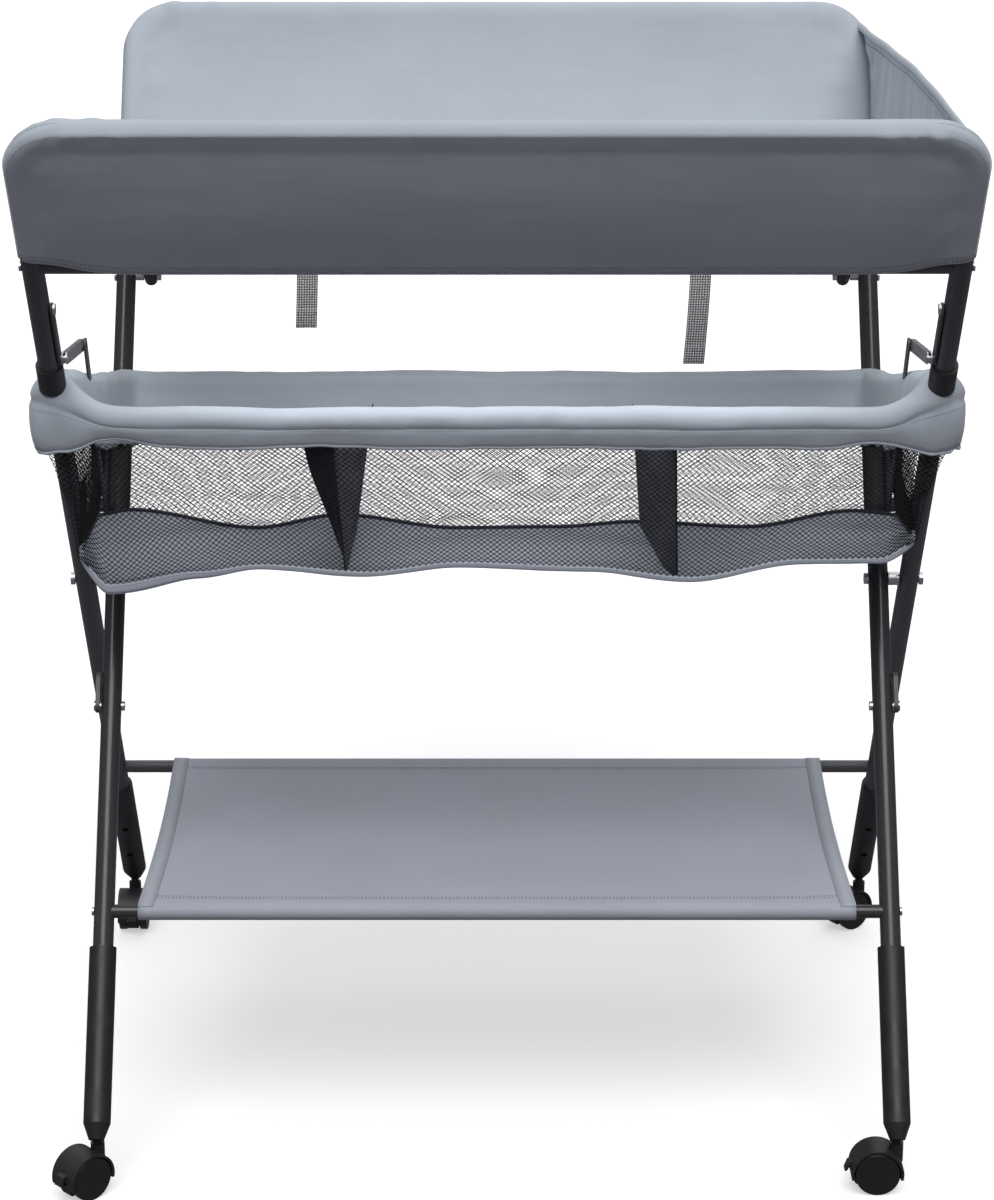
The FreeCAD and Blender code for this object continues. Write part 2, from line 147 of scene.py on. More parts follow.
def cloth_grid(name, rows, closed=False):
    """A sheet from rows of points, with its UV map in metres along the cloth."""
    count = len(rows[0])
    across = lengths(rows[len(rows) // 2])
    along = lengths([row[count // 2] for row in rows])
    verts, uvs, faces = [], [], []
    for j, row in enumerate(rows):
        for i, point in enumerate(row):
            verts.append(point)
            uvs.append((across[i], along[j]))
    for j in range(len(rows) - 1):
        for i in range(count - (0 if closed else 1)):
            k = (i + 1) % count
            faces.append((j * count + i, j * count + k, (j + 1) * count + k, (j + 1) * count + i))
    return new_object(name, verts, faces, uvs)


def bake(obj):
    """Applies what the modifiers make to the mesh itself."""
    graph = bpy.context.evaluated_depsgraph_get()
    made = bpy.data.meshes.new_from_object(obj.evaluated_get(graph), depsgraph=graph)
    obj.modifiers.clear()
    obj.data = made
    return obj


def thicken(obj, depth):
    solid = obj.modifiers.new("Solidify", "SOLIDIFY")
    solid.thickness = depth
    solid.offset = 0.0
    return bake(obj)


def weld(obj, outwards=False):
    """Merges the points that meet where a sheet's rows close on each other."""
    mesh = bmesh.new()
    mesh.from_mesh(obj.data)
    bmesh.ops.remove_doubles(mesh, verts=mesh.verts, dist=0.00005)
    if outwards:
        bmesh.ops.recalc_face_normals(mesh, faces=mesh.faces)
    mesh.to_mesh(obj.data)
    mesh.free()


def join(parts, name):
    """Joins meshes into one piece that keeps each part's material and UV map."""
    with bpy.context.temp_override(active_object=parts[0], object=parts[0],
                                   selected_objects=parts, selected_editable_objects=parts):
        bpy.ops.object.join()
    parts[0].name = name
    parts[0].data.name = name
    return parts[0]


def drape(obj, pinned, frames=18, slack=0.0, gravity=1.0, stiff=12.0):
    """Hangs a sheet by its pinned points with the cloth solver and keeps the result."""
    group = obj.vertex_groups.new(name="pins")
    group.add(pinned, 1.0, "REPLACE")
    cloth = obj.modifiers.new("Cloth", "CLOTH")
    settings = cloth.settings
    settings.quality = 5
    settings.mass = 0.25
    settings.air_damping = 4.0
    settings.tension_stiffness = stiff
    settings.compression_stiffness = stiff
    settings.shear_stiffness = stiff / 2
    settings.bending_stiffness = 2.0
    settings.vertex_group_mass = "pins"
    settings.shrink_min = -slack
    settings.effector_weights.gravity = gravity
    cloth.collision_settings.use_collision = False
    cloth.point_cache.frame_end = frames
    for number in range(1, frames + 1):
        scene.frame_set(number)
    bake(obj)
    scene.frame_set(1)
    obj.vertex_groups.clear()


def tube_mesh(name, path, radius, sides=8, closed=False, squash=(1.0, 1.0)):
    """A round or flattened strip swept along points, upright in Z."""
    path = [Vector(p) for p in path]
    count = len(path)
    verts, uvs = [], []
    run = lengths(path)
    for i, point in enumerate(path):
        ahead = path[(i + 1) % count] if closed else path[min(i + 1, count - 1)]
        behind = path[i - 1] if closed or i else path[0]
        along = (ahead - behind).normalized()
        side = along.cross(Vector((0, 0, 1))).normalized()
        up = side.cross(along).normalized()
        for k in range(sides):
            a = 2 * math.pi * k / sides
            spoke = side * math.cos(a) * squash[0] + up * math.sin(a) * squash[1]
            verts.append(point + spoke * radius)
            uvs.append((a * radius, run[i]))
    faces = ring_faces(count, sides, closed)
    if not closed:
        faces.append(tuple(reversed(range(sides))))
        faces.append(tuple(range((count - 1) * sides, count * sides)))
    return new_object(name, verts, faces, uvs)


def resample(path, step):
    """The same path with its points spaced evenly, about step apart."""
    run = lengths(path)
    total = run[-1]
    count = max(int(total / step), 2)
    out, k = [], 0
    for i in range(count + 1):
        want = total * i / count
        while k < len(run) - 2 and run[k + 1] < want:
            k += 1
        span = max(run[k + 1] - run[k], 1e-9)
        out.append(Vector(path[k]).lerp(Vector(path[k + 1]), (want - run[k]) / span))
    return out


def stitches(path, normal, pitch=0.0034, gap=0.0011, radius=0.00032, lift=0.0004):
    """Thread dashes that sit just proud of the cloth along a line."""
    points = resample(path, pitch)
    verts, faces = [], []
    for a, b in zip(points, points[1:]):
        along = b - a
        if along.length < 1e-6:
            continue
        out = Vector(normal(a.lerp(b, 0.5)) if callable(normal) else normal).normalized()
        side = along.cross(out).normalized() * radius
        a = a + along * (gap / 2 / pitch) + out * lift
        b = b - along * (gap / 2 / pitch) + out * lift
        up = out * radius
        mid = a.lerp(b, 0.5) + up * 0.7
        base = len(verts)
        verts += [a - up, mid + side * 0.9 - up * 0.6, mid + up, mid - side * 0.9 - up * 0.6, b - up]
        for end, turn in ((base, 1), (base + 4, -1)):
            for k, m in ((1, 2), (2, 3), (3, 1)):
                faces.append((end, base + k, base + m)[::turn])
    obj = new_object("stitches", verts, faces, [(0.0, 0.0)] * len(verts))
    paint(obj, THREAD)
    return obj


# ------------------------------------------------------------- materials

def material(name, color, roughness, metallic=0.0, **sockets):
    """A material with its node tree and shader; other sockets go by name, with _ for a space."""
    made = bpy.data.materials.new(name)
    made.use_nodes = True
    tree = made.node_tree
    shader = tree.nodes["Principled BSDF"]
    shader.inputs["Base Color"].default_value = (*color, 1)
    shader.inputs["Roughness"].default_value = roughness
    shader.inputs["Metallic"].default_value = metallic
    for key, value in sockets.items():
        shader.inputs[key.replace("_", " ")].default_value = value
    made.diffuse_color = (*color, 1)
    return made, tree, shader


def noise_node(tree, scale, detail=3.0, source="Object", stretch=(1, 1, 1)):
    place = tree.nodes.new("ShaderNodeTexCoord")
    mapping = tree.nodes.new("ShaderNodeMapping")
    mapping.inputs["Scale"].default_value = stretch
    texture = tree.nodes.new("ShaderNodeTexNoise")
    texture.inputs["Scale"].default_value = scale
    texture.inputs["Detail"].default_value = detail
    tree.links.new(place.outputs[source], mapping.inputs["Vector"])
    tree.links.new(mapping.outputs["Vector"], texture.inputs["Vector"])
    return texture.outputs["Fac"]


def ranged(tree, value, low, high, start=0.3, end=0.7):
    """Maps a value's start-to-end onto low-to-high."""
    node = tree.nodes.new("ShaderNodeMapRange")
    for socket, number in (("From Min", start), ("From Max", end), ("To Min", low), ("To Max", high)):
        node.inputs[socket].default_value = number
    tree.links.new(value, node.inputs["Value"])
    return node.outputs["Result"]


def combined(tree, operation, *values):
    """A maths node fed by sockets or plain numbers."""
    node = tree.nodes.new("ShaderNodeMath")
    node.operation = operation
    for socket, value in zip(node.inputs, values):
        if isinstance(value, float):
            socket.default_value = value
        else:
            tree.links.new(value, socket)
    return node.outputs["Value"]


def tinted(tree, shader, value, dark, light, start=0.3, end=0.7):
    """Lets a pattern run the base colour between two shades."""
    ramp = tree.nodes.new("ShaderNodeValToRGB")
    for element, place, color in zip(ramp.color_ramp.elements, (start, end), (dark, light)):
        element.position = place
        element.color = (*color, 1)
    tree.links.new(value, ramp.inputs["Fac"])
    tree.links.new(ramp.outputs["Color"], shader.inputs["Base Color"])


def bumped(tree, shader, layers):
    """Adds (height, strength, distance) bumps one on another."""
    last = None
    for height, strength, distance in layers:
        bump = tree.nodes.new("ShaderNodeBump")
        bump.inputs["Strength"].default_value = strength
        bump.inputs["Distance"].default_value = distance
        tree.links.new(height, bump.inputs["Height"])
        if last is not None:
            tree.links.new(last, bump.inputs["Normal"])
        last = bump.outputs["Normal"]
    tree.links.new(last, shader.inputs["Normal"])


def weave(tree, pitch):
    """Over-and-under threads, from the UV map in metres."""
    place = tree.nodes.new("ShaderNodeTexCoord")
    bands = []
    for direction in ("X", "Y"):
        wave = tree.nodes.new("ShaderNodeTexWave")
        wave.bands_direction = direction
        wave.inputs["Scale"].default_value = math.pi / 10 / pitch
        wave.inputs["Distortion"].default_value = 0.4
        tree.links.new(place.outputs["UV"], wave.inputs["Vector"])
        bands.append(wave.outputs["Fac"])
    return combined(tree, "MULTIPLY", *bands)


def fabric(name, color, pitch=0.0009, roughness=0.62, spread=0.07, creases=0.5, sheen=0.25):
    made, tree, shader = material(name, color, roughness, Sheen_Weight=sheen,
                                  Sheen_Roughness=0.45, Specular_IOR_Level=0.35)
    dark = [c * (1 - spread) for c in color]
    light = [min(c * (1 + spread), 1) for c in color]
    cloud = noise_node(tree, 9.0, 4.0)
    fleck = noise_node(tree, 900.0, 2.0)
    shade = combined(tree, "MULTIPLY_ADD", fleck, 0.35, combined(tree, "MULTIPLY", cloud, 0.65))
    tinted(tree, shader, shade, dark, light)
    tree.links.new(ranged(tree, cloud, roughness - 0.05, roughness + 0.08),
                   shader.inputs["Roughness"])
    crease = noise_node(tree, 16.0, 3.0, stretch=(0.35, 1.4, 1.4))
    bumped(tree, shader, [(crease, creases, 0.004), (weave(tree, pitch), 0.22, 0.00025)])
    return made


def painted(name, color, roughness, coat=0.0, gloss=0.5):
    """Powder coat: fine orange peel, and a paler shade where edges wear."""
    made, tree, shader = material(name, color, roughness, Coat_Weight=coat,
                                  Coat_Roughness=0.12, Specular_IOR_Level=gloss)
    grain = noise_node(tree, 70.0, 4.0)
    peel = noise_node(tree, 1300.0, 1.0)
    tree.links.new(ranged(tree, grain, roughness * 0.85, roughness * 1.2),
                   shader.inputs["Roughness"])
    edge = tree.nodes.new("ShaderNodeNewGeometry").outputs["Pointiness"]
    worn = ranged(tree, edge, 0.0, 1.0, start=0.53, end=0.62)
    tinted(tree, shader, worn, color, [c * 2.2 + 0.02 for c in color], start=0.0, end=1.0)
    bumped(tree, shader, [(peel, 0.06, 0.0001)])
    return made


def plated(name, color, roughness):
    """Zinc plate with faint streaks."""
    made, tree, shader = material(name, color, roughness, metallic=1.0)
    streak = noise_node(tree, 240.0, 4.0, stretch=(1, 0.2, 1))
    tree.links.new(ranged(tree, streak, roughness * 0.7, roughness * 1.4),
                   shader.inputs["Roughness"])
    tinted(tree, shader, noise_node(tree, 60.0, 3.0), [c * 0.85 for c in color], color)
    bumped(tree, shader, [(streak, 0.12, 0.0001)])
    return made


def moulded(name, color, roughness, grain=0.12):
    """Textured black plastic."""
    made, tree, shader = material(name, color, roughness, Specular_IOR_Level=0.5)
    fine = noise_node(tree, 2200.0, 2.0)
    broad = noise_node(tree, 45.0, 3.0)
    tree.links.new(ranged(tree, broad, roughness * 0.85, roughness * 1.15),
                   shader.inputs["Roughness"])
    tinted(tree, shader, broad, [c * 0.85 for c in color], [c * 1.2 for c in color])
    bumped(tree, shader, [(fine, grain, 0.00012)])
    return made


def webbing(name, dark, light):
    made, tree, shader = material(name, dark, 0.8, Sheen_Weight=0.2)
    pattern = weave(tree, 0.0024)
    tinted(tree, shader, pattern, dark, light, start=0.12, end=0.5)
    bumped(tree, shader, [(pattern, 0.8, 0.0006)])
    return made


def paint(obj, made):
    obj.data.materials.clear()
    obj.data.materials.append(made)
    return obj


def finish_cloth(obj, made, depth):
    """Gives a sheet its material and its thickness."""
    thicken(paint(obj, made), depth)


FABRIC = fabric("grey_polyester", (0.400, 0.445, 0.500))
SHELF_FABRIC = fabric("shelf_polyester", (0.345, 0.365, 0.425), creases=0.3)
HEM_FABRIC = fabric("hem_polyester", (0.35, 0.375, 0.43), creases=0.2)
BINDING = fabric("pale_binding", (0.46, 0.50, 0.58), pitch=0.0007, creases=0.2)
NAVY = fabric("navy_polyester", (0.030, 0.034, 0.048), pitch=0.0008, spread=0.14, sheen=0.08)
THREAD = fabric("sewing_thread", (0.10, 0.10, 0.12), pitch=0.0004, creases=0.0)
NET = fabric("black_net_thread", (0.006, 0.006, 0.007), pitch=0.0005, roughness=0.8, creases=0.0,
             sheen=0.0)
WEBBING = webbing("grey_webbing", (0.07, 0.071, 0.073), (0.42, 0.425, 0.43))
GLOSS_TUBE = painted("gloss_black_tube", (0.007, 0.007, 0.008), 0.24, coat=0.1, gloss=0.32)
SATIN_TUBE = painted("charcoal_tube", (0.030, 0.031, 0.037), 0.36, gloss=0.4)
BLACK_PLATE = painted("black_plate", (0.018, 0.018, 0.020), 0.42)
ZINC = plated("zinc_plate", (0.62, 0.62, 0.64), 0.3)
PLASTIC = moulded("black_moulding", (0.013, 0.013, 0.015), 0.48)
WHEEL = moulded("wheel_moulding", (0.010, 0.010, 0.0115), 0.3, grain=0.06)

# What each CAD node that stays visible is made of, by how its name starts
CAD_MATERIALS = [
    (GLOSS_TUBE, ("inner_leg_", "rear_top_rail", "front_lower_bar", "rear_deck_rail",
                  "basket_rear_rail", "deck_bail")),
    (SATIN_TUBE, ("outer_leg_", "front_top_frame", "rear_lower_bar", "front_deck_rail",
                  "basket_front_rail")),
    (ZINC, ("frame_bolts", "bolt_spacers", "frame_pins", "brace_arm_")),
    (BLACK_PLATE, ("brace_brackets", "brace_link_", "latch_hook_")),
    (PLASTIC, ("frame_collars", "leg_sleeve_", "height_button_", "caster_hood_", "brake_lever_")),
    (WHEEL, ("caster_wheels_",)),
]
for made, starts in CAD_MATERIALS:
    for node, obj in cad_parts.items():
        if node.startswith(starts):
            paint(obj, made)


# ---------------------------------------------------------- tray walls

# The covers' sections: the roll round the tube, the panel's two faces and the seam's depth
COVER_R = 0.0107
PANEL_OUT = 0.0082
PANEL_IN = 0.0066
LIP_FLAT = 0.0101
SEAM_D = 0.0041
HEM_S = 0.437
BEND_S = RAIL_TOP - RAIL_BEND
COVER_TOP = RAIL_TOP + COVER_R
CORNER_R = RAIL_BEND + COVER_R


def cover_half_width(half, s):
    if s <= BEND_S:
        return half + COVER_R
    return half - RAIL_BEND + math.sqrt(max(CORNER_R ** 2 - (s - BEND_S) ** 2, 0.0))


def cover_inset(half, x, s):
    """How far in from the cover's rounded edge a point lies."""
    across, up = abs(x) - (half - RAIL_BEND), s - BEND_S
    if across > 0 and up > 0:
        return CORNER_R - math.hypot(across, up)
    return CORNER_R - max(across, up)


def cover_depth(d, panel, lip=0.0):
    """The cover's height off its middle plane, d in from its edge: the roll, then the panel."""
    roll = COVER_R * math.sqrt(max(1 - (1 - min(d, COVER_R) / COVER_R) ** 2, 0.0))
    if d < SEAM_D:
        return roll * (1 + 0.21 * lip * (d / SEAM_D) ** 2)
    return mix(mix(roll, LIP_FLAT, lip), panel, smooth(COVER_R, COVER_R + 0.028, d))


def lip_at(half, x):
    """The share of the seam's lip: full along the top, none round the corners."""
    return smooth(1.0, 0.84, abs(x) / half)


def cover_folds(half, x, s, d, low, face):
    """Slack, fine creases and puckers, none where the cloth is sewn or drawn tight."""
    edge = half + COVER_R
    calm = smooth(0.012, 0.05, d) * smooth(0.0, 0.03, s - low)
    wave = rough_noise(x, 0.4 * s, 0, 9.0, 3.0 if face > 0 else 7.0) * 0.0022
    wave += rough_noise(x + s, 0, 0.5 * (x - s), 30.0, 11.0) * 0.0006
    wave += smooth(0.10, 0.0, edge - abs(x)) * 0.0011 * math.sin(170 * s + 60 * abs(x))
    bend = math.exp(-((abs(x) - half + 0.045) / 0.05) ** 2) * smooth(0.07, 0.0, COVER_TOP - s)
    pucker = rough_noise(x * 1.5, s * 0.6, face, 40.0, 5.0) * 0.0042 * bend
    return calm * wave + abs(pucker * smooth(0.0, 0.003, d))


def wall_cover(name, node, half, place, outside, body, hem_rise):
    """A cover drawn over the U tube: a roll round the tube and a flat panel under it."""
    edge = half + COVER_R
    columns, levels = 132, 34

    def hem(x):
        return HEM_S + hem_rise * smooth(0.72, 1.0, abs(x) / edge) ** 2

    rows, pins = [], []
    for face, order in ((1, range(levels + 1)), (-1, range(levels - 1, -1, -1))):
        for k in order:
            row = []
            for i in range(columns + 1):
                u = crowded(2 * i / columns - 1, 0.55)
                low = hem(u * edge) if face > 0 else HEM_S + 0.012
                s = low + (COVER_TOP - low) * math.sin(k / levels * math.pi / 2) ** 0.92
                x = u * cover_half_width(half, s)
                d = max(cover_inset(half, x, s), 0.0)
                y = cover_depth(d, PANEL_OUT, lip_at(half, x)) if face > 0 else cover_depth(d, PANEL_IN)
                if d < 0.024 or s - low < 0.012:
                    pins.append(len(rows) * (columns + 1) + i)
                row.append(place(x, outside * face * (y + cover_folds(half, x, s, d, low, face)), s))
            rows.append(row)
    cover = cloth_grid(name, rows)
    drape(cover, pins, slack=0.003, gravity=0.6)
    weld(cover)
    finish_cloth(cover, FABRIC, 0.0008)
    out = place(0, outside, 0) - place(0, 0, 0)
    trims = []
    for rise in (0.0032, 0.0085):
        line = []
        for x in np.linspace(-1, 1, 90) * (half + COVER_R * 0.7):
            s = hem(x) + rise
            y = cover_depth(max(cover_inset(half, x, s), 0.0), PANEL_OUT) + 0.0006
            line.append(place(x, outside * y, s))
        trims.append(stitches(line, out))
    seam = []
    for t in np.linspace(0.0, 1.0, 160):
        x, s = rounded_edge(t, half, SEAM_D - COVER_R, HEM_S + 0.03)
        y = cover_depth(SEAM_D + 0.0006, PANEL_OUT, lip_at(half, x)) + 0.0004
        seam.append(place(x, outside * y, s))
    trims.append(stitches(seam, out, pitch=0.0032))
    cover = join([cover] + trims, name)
    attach(cover, body)
    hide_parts(node)


def rounded_edge(t, half, grow, low):
    """A point along the U tube's line, grown outwards, from one low end to the other."""
    radius = RAIL_BEND - grow
    side = BEND_S - low
    arc = math.pi / 2 * radius
    span = 2 * (half - RAIL_BEND)
    run = t * (2 * side + 2 * arc + span)
    x_side = half - RAIL_BEND
    if run < side:
        return -(x_side + radius), low + run
    run -= side
    if run < arc:
        a = run / radius
        return -(x_side + radius * math.cos(a)), BEND_S + radius * math.sin(a)
    run -= arc
    if run < span:
        return -x_side + run, BEND_S + radius
    run -= span
    if run < arc:
        a = run / radius
        return x_side + radius * math.sin(a), BEND_S + radius * math.cos(a)
    run -= arc
    return x_side + radius, BEND_S - run


wall_cover("front_wall_cover", "front_wall", OUTER_X, on_outer, -1, OUTER, 0.018)
wall_cover("rear_wall_cover", "rear_wall", INNER_X, on_inner, 1, INNER, 0.012)


# ---------------------------------------------------------- tray inside


def fold(obj):
    """Bakes the piece's transform into its mesh. Its rear edge meets the inner frame and its front the
    outer frame, but it is tied to neither.
    """
    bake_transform(obj)


def tray_floor():
    """The cloth that carries the mat, drawn between the two deck rails."""
    low_x, high_x, half_y = -0.372, 0.3705, 0.2405
    columns, levels = 74, 48

    def place(u, v):
        x, y = mix(low_x, high_x, u), mix(half_y, -half_y, v)
        return Vector((x, y, DECK_Z - 0.001 + 0.0005 * rough_noise(x, y, 0, 20)))

    sheet = cloth_grid("tray_floor_cloth", grid_rows(columns, levels, place))
    last = levels * (columns + 1)
    pins = [row + i for i in range(columns + 1) for row in (0, last)]
    drape(sheet, pins, frames=14, slack=0.0005, gravity=0.5, stiff=40.0)
    for vertex in sheet.data.vertices:
        vertex.co.z = max(vertex.co.z, DECK_Z - 0.007)
    finish_cloth(sheet, FABRIC, 0.0016)
    edge = [Vector((low_x + 0.009, mix(half_y, -half_y, t), DECK_Z + 0.0006))
            for t in np.linspace(0, 1, 40)]
    sheet = join([sheet, stitches(edge, UP)], "tray_floor_cloth")
    fold(sheet)
    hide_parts("tray_floor")


def changing_mat():
    """A foam slab in a sewn cover: crowned, soft at the edges, with two sewn channels."""
    half_x, half_y, thick = 0.352, 0.229, 0.021
    centre_x, low = -0.002, DECK_Z + 0.0008
    corner, edge_round, crown, channel_x = 0.03, 0.013, 0.0035, 0.118
    columns, levels = 96, 62

    def place(i, j, side):
        u, v = crowded(2 * i / columns - 1, 0.6), crowded(2 * j / levels - 1, 0.6)
        x, y = u * half_x, v * half_y
        cx, cy = abs(x) - (half_x - corner), abs(y) - (half_y - corner)
        if cx > 0 and cy > 0:
            far = max(cx, cy) / math.hypot(cx, cy)
            x = math.copysign(half_x - corner + cx * far, x)
            y = math.copysign(half_y - corner + cy * far, y)
            d = corner - math.hypot(cx * far, cy * far)
        else:
            d = min(half_x - abs(x), half_y - abs(y))
        pull = 0.005 * (1 - v * v) * abs(u) ** 8 + 0.005 * (1 - u * u) * abs(v) ** 8
        x *= 1 - pull / half_x
        y *= 1 - pull / half_y
        rise = math.sqrt(max(1 - (1 - min(d / edge_round, 1.0)) ** 2, 0.0))
        if side < 0:
            return Vector((centre_x + x, y, low + thick * 0.45 * (1 - rise)))
        channel = math.exp(-((abs(x) - channel_x) / 0.006) ** 2)
        z = thick * (0.45 + 0.55 * rise) + crown * (1 - u * u) * (1 - v * v)
        z += 0.0012 * rough_noise(x, y, 0, 14, 5) * rise - 0.0045 * channel * rise
        return Vector((centre_x + x, y, low + z))

    rows = []
    for side, order in ((1, range(levels + 1)), (-1, range(levels, -1, -1))):
        rows += [[place(i, j, side) for i in range(columns + 1)] for j in order]
    mat = cloth_grid("changing_mat_cover", rows)
    weld(mat, outwards=True)
    paint(mat, FABRIC)
    ring = rounded_ring(half_x - 0.0035, half_y - 0.0035, 0.028, 260)
    piping = tube_mesh("piping", [Vector((centre_x + x, y, low + thick * 0.45)) for x, y in ring],
                       0.0024, closed=True)
    paint(piping, BINDING)
    trims = [piping]
    for x in (-channel_x, channel_x):
        line = [Vector((centre_x + x, y, low + thick - 0.0012 +
                        crown * (1 - (x / half_x) ** 2) * (1 - (y / half_y) ** 2)))
                for y in np.linspace(-half_y + 0.014, half_y - 0.014, 60)]
        trims.append(stitches(line, UP, pitch=0.004))
    mat = join([mat] + trims, "changing_mat_cover")
    fold(mat)
    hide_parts("changing_mat")


def rounded_ring(half_x, half_y, radius, count):
    """Points round a rectangle with rounded corners, anticlockwise from +X."""
    out = []
    straight_x, straight_y = 2 * (half_x - radius), 2 * (half_y - radius)
    arc = math.pi / 2 * radius
    total = 2 * straight_x + 2 * straight_y + 4 * arc
    legs = [(straight_y, (half_x, -half_y + radius), (0, 1)),
            (straight_x, (half_x - radius, half_y), (-1, 0)),
            (straight_y, (-half_x, half_y - radius), (0, -1)),
            (straight_x, (-half_x + radius, -half_y), (1, 0))]
    turns = [(half_x - radius, half_y - radius, 0), (-half_x + radius, half_y - radius, 90),
             (-half_x + radius, -half_y + radius, 180), (half_x - radius, -half_y + radius, 270)]
    for i in range(count):
        run = total * i / count
        for (long, start, way), (cx, cy, angle) in zip(legs, turns):
            if run < long:
                out.append((start[0] + way[0] * run, start[1] + way[1] * run))
                break
            run -= long
            if run < arc:
                a = math.radians(angle) + run / radius
                out.append((cx + radius * math.cos(a), cy + radius * math.sin(a)))
                break
            run -= arc
    return out


def end_wall():
    """The closed end: one sheet drawn tight between the corners of the two walls."""
    columns, levels = 84, 30
    front_top, rear_top, top_bow, front_x = 0.9830, 0.9715, 0.0085, 0.3790

    def place(side, v):
        u = 2 * side - 1
        bow = (1 - u * u) * v
        z = mix(DECK_Z, mix(front_top, rear_top, side) + top_bow * bow, v)
        above = max((z - PIVOT) / math.cos(TILT) - BEND_S, 0.0)
        rear_x = INNER_X - RAIL_BEND + math.sqrt(CORNER_R ** 2 - min(above, 0.04) ** 2)
        x = mix(front_x, rear_x - 0.0008, side)
        x += 0.0030 * bow + 0.0030 * rough_noise(u * 3, v * 2, 0, 1.0, 4.0) * (1 - u * u)
        return Vector((x, u * ((z - PIVOT) * math.tan(TILT) - 0.0085 / math.cos(TILT)), z))

    name = "head_end_wall_cloth"
    sheet = cloth_grid(name, grid_rows(columns, levels, place))
    pins = [j * (columns + 1) + i for j in range(levels + 1) for i in range(columns + 1)
            if j in (0, levels) or i in (0, columns)]
    drape(sheet, pins, slack=0.004, gravity=0.8)

    def level(j):
        return [sheet.data.vertices[j * (columns + 1) + i].co.copy() for i in range(columns + 1)]

    top, lower = level(levels), level(levels - 2)
    finish_cloth(sheet, FABRIC, 0.0022)
    hem = tube_mesh("hem", [p - UP * 0.002 for p in top], 0.0042, sides=10, squash=(0.5, 1.0))
    paint(hem, FABRIC)
    lines = [stitches([p + Vector((way * 0.0014, 0, 0)) for p in lower], Vector((way, 0, 0)))
             for way in (-1, 1)]
    sheet = join([sheet, hem] + lines, name)
    fold(sheet)
    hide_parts("head_end_wall")


def storage_strap(name, node, x, low, lean):
    """A loose webbing strap sewn under the tray, its end turned up and stitched."""
    columns, levels, wide, high = 6, 40, 0.0195, DECK_Z - 0.009

    def hanging(u, t):
        twist = 0.10 * t * math.sin(3 * t + x * 9)
        curl = 0.0025 * math.sin(t * 4.0 + x * 20) * t
        return Vector((x + lean * t * t + (u - 0.5) * wide * math.cos(twist),
                       curl + (u - 0.5) * wide * math.sin(twist), mix(high, low, t)))

    def turned_up(u, t):
        z = low + 0.0005 + t * 0.018
        y = -0.0022 + 0.0025 * math.sin(4.0 + x * 20) - 0.0007 * math.sin(t * math.pi)
        return Vector((x + lean * (1 - (z - low) / (high - low)) ** 2 + (u - 0.5) * 0.0193, y, z))

    strap = cloth_grid(name, grid_rows(columns, levels, hanging))
    finish_cloth(strap, WEBBING, 0.0015)
    turned = grid_rows(columns, 8, turned_up)
    flap = cloth_grid("flap", turned)
    finish_cloth(flap, WEBBING, 0.0014)
    line = [p + Vector((0, -0.0010, 0)) for p in turned[6]]
    strap = join([strap, flap, stitches(line, Vector((0, -1, 0)), pitch=0.003)], name)
    fold(strap)
    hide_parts(node)


tray_floor()
changing_mat()
end_wall()
storage_strap("storage_strap_left_webbing", "storage_strap_left", -0.175, 0.737, -0.003)
storage_strap("storage_strap_right_webbing", "storage_strap_right", 0.190, 0.702, -0.006)


# ---------------------------------------------------------------- shelf

def shelf():
    """A cloth looped round the two lower bars, bound along both sides."""
    front, rear = on_inner(0, 0, LOWER_BAR_S), on_outer(0, 0, LOWER_BAR_S)
    loop, columns = BAR_R + 0.0012, 92
    front_half, rear_half = 0.333, 0.3345
    turns = [math.radians(a) for a in np.linspace(-130, 90, 12)]
    outline = [Vector((0, front.y - loop * math.cos(a), front.z + loop * math.sin(a))) for a in turns]
    start = len(outline)
    outline += [front.lerp(rear, t) + UP * loop for t in np.linspace(0, 1, 44)[1:-1]]
    end = len(outline)
    outline += [Vector((0, rear.y + loop * math.cos(a), rear.z + loop * math.sin(a)))
                for a in reversed(turns)]
    rows, pins = [], []
    for j, point in enumerate(outline):
        waist = math.sin(math.pi * min(max((point.y - front.y) / (rear.y - front.y), 0), 1))
        half = mix(front_half, rear_half, smooth(front.y, rear.y, point.y)) - 0.0035 * waist
        row = []
        for i in range(columns + 1):
            x = (2 * i / columns - 1) * half
            ripple = 0.0004 * rough_noise(x, point.y, 0, 26) * (start <= j < end)
            row.append(Vector((x, point.y, point.z + ripple)))
            if j < start or j >= end or i in (0, columns):
                pins.append(j * (columns + 1) + i)
        rows.append(row)
    sheet = cloth_grid("shelf_cloth", rows)
    drape(sheet, pins, frames=20, slack=0.0012, stiff=25.0)
    places = [v.co.copy() for v in sheet.data.vertices]

    def at(j, i, rise):
        return places[j * (columns + 1) + i] + UP * rise

    finish_cloth(sheet, SHELF_FABRIC, 0.0011)
    trims = []
    for side, inner in ((0, 2), (columns, columns - 2)):
        trims.append(stitches([at(j, inner, 0.0006) for j in range(start - 2, end + 2)], UP))
        band = cloth_grid("band", [[at(j, side, 0.0011), at(j, inner, 0.0009)]
                                   for j in range(start - 3, end + 3)])
        finish_cloth(band, HEM_FABRIC, 0.0007)
        trims.append(band)
    for j, inwards in ((start + 1, 0.004), (end - 2, -0.004)):
        line = [at(j, i, 0.0006) for i in range(2, columns - 1)]
        trims.append(stitches(line, UP))
        trims.append(stitches([p + Vector((0, inwards, 0)) for p in line], UP))
    sheet = join([sheet] + trims, "shelf_cloth")
    fold(sheet)
    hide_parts("bottom_shelf")


shelf()


# --------------------------------------------------------------- basket

FLOOR_FRONT_Y = -0.146
FLOOR_REAR_Y = 0.019
FLOOR_HALF = 0.381

